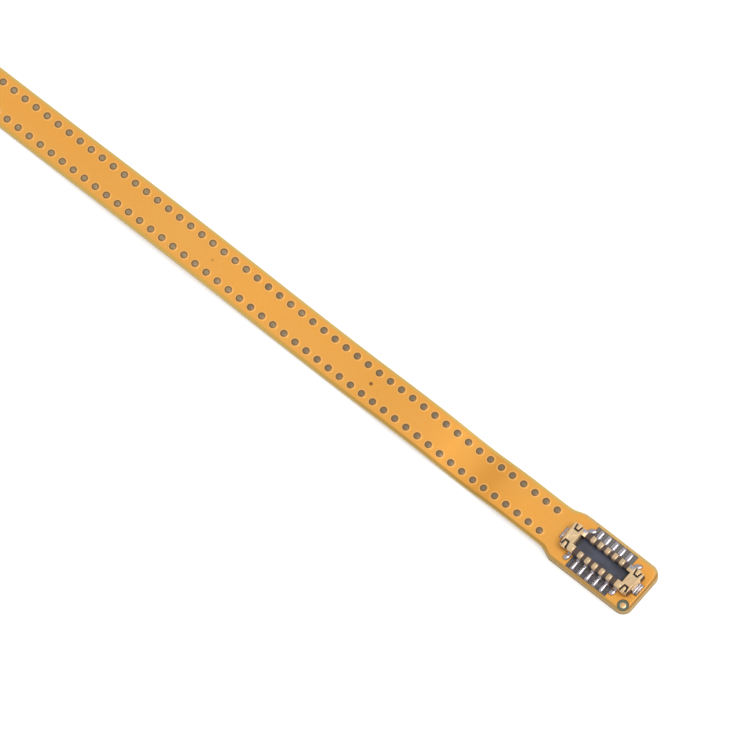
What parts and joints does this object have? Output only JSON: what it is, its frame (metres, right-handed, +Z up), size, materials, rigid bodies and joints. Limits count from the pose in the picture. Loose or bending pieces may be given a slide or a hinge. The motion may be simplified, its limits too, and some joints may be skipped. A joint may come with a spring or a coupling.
{
  "type": "flat flex cable",
  "caption": "Narrow amber flexible circuit cable lying in gentle waves, with stitched vias along its edges and a fine-pitch board-to-board plug on a widened, stiffened head at each end.",
  "frame": {"origin": "under the middle of the cable, on the surface it lies on", "axes": "+X along the cable towards the near plug, +Y across it, +Z up out of the plugs' mating side"},
  "size_m": [0.06, 0.0022, 0.0008],
  "materials": {
    "film": "satin amber film with copper shining through",
    "via_plating": "dull olive-grey, under the coverlay",
    "stiffener": "matt",
    "pad_plating": "satin gold plating",
    "solder": "bright",
    "housing": "matt moulded",
    "contact_plating": "polished gold plating",
    "nail_plating": "polished gold plating"
  },
  "bodies": {
    "root": {"far_contact_a1": "contact_plating", "far_contact_a2": "contact_plating", "far_contact_a3": "contact_plating", "far_contact_a4": "contact_plating", "far_contact_a5": "contact_plating", "far_contact_b1": "contact_plating", "far_contact_b2": "contact_plating", "far_contact_b3": "contact_plating", "far_contact_b4": "contact_plating", "far_contact_b5": "contact_plating", "far_housing": "housing", "far_nail_inner": "nail_plating", "far_nail_outer": "nail_plating", "far_pads": "pad_plating", "far_solder": "solder", "far_stiffener": "stiffener", "far_test_pad": "pad_plating", "flex_film": "film", "near_contact_a1": "contact_plating", "near_contact_a2": "contact_plating", "near_contact_a3": "contact_plating", "near_contact_a4": "contact_plating", "near_contact_a5": "contact_plating", "near_contact_b1": "contact_plating", "near_contact_b2": "contact_plating", "near_contact_b3": "contact_plating", "near_contact_b4": "contact_plating", "near_contact_b5": "contact_plating", "near_housing": "housing", "near_nail_inner": "nail_plating", "near_nail_outer": "nail_plating", "near_pads": "pad_plating", "near_solder": "solder", "near_stiffener": "stiffener", "near_test_pad": "pad_plating", "vias": "via_plating"}
  },
  "joints": []
}
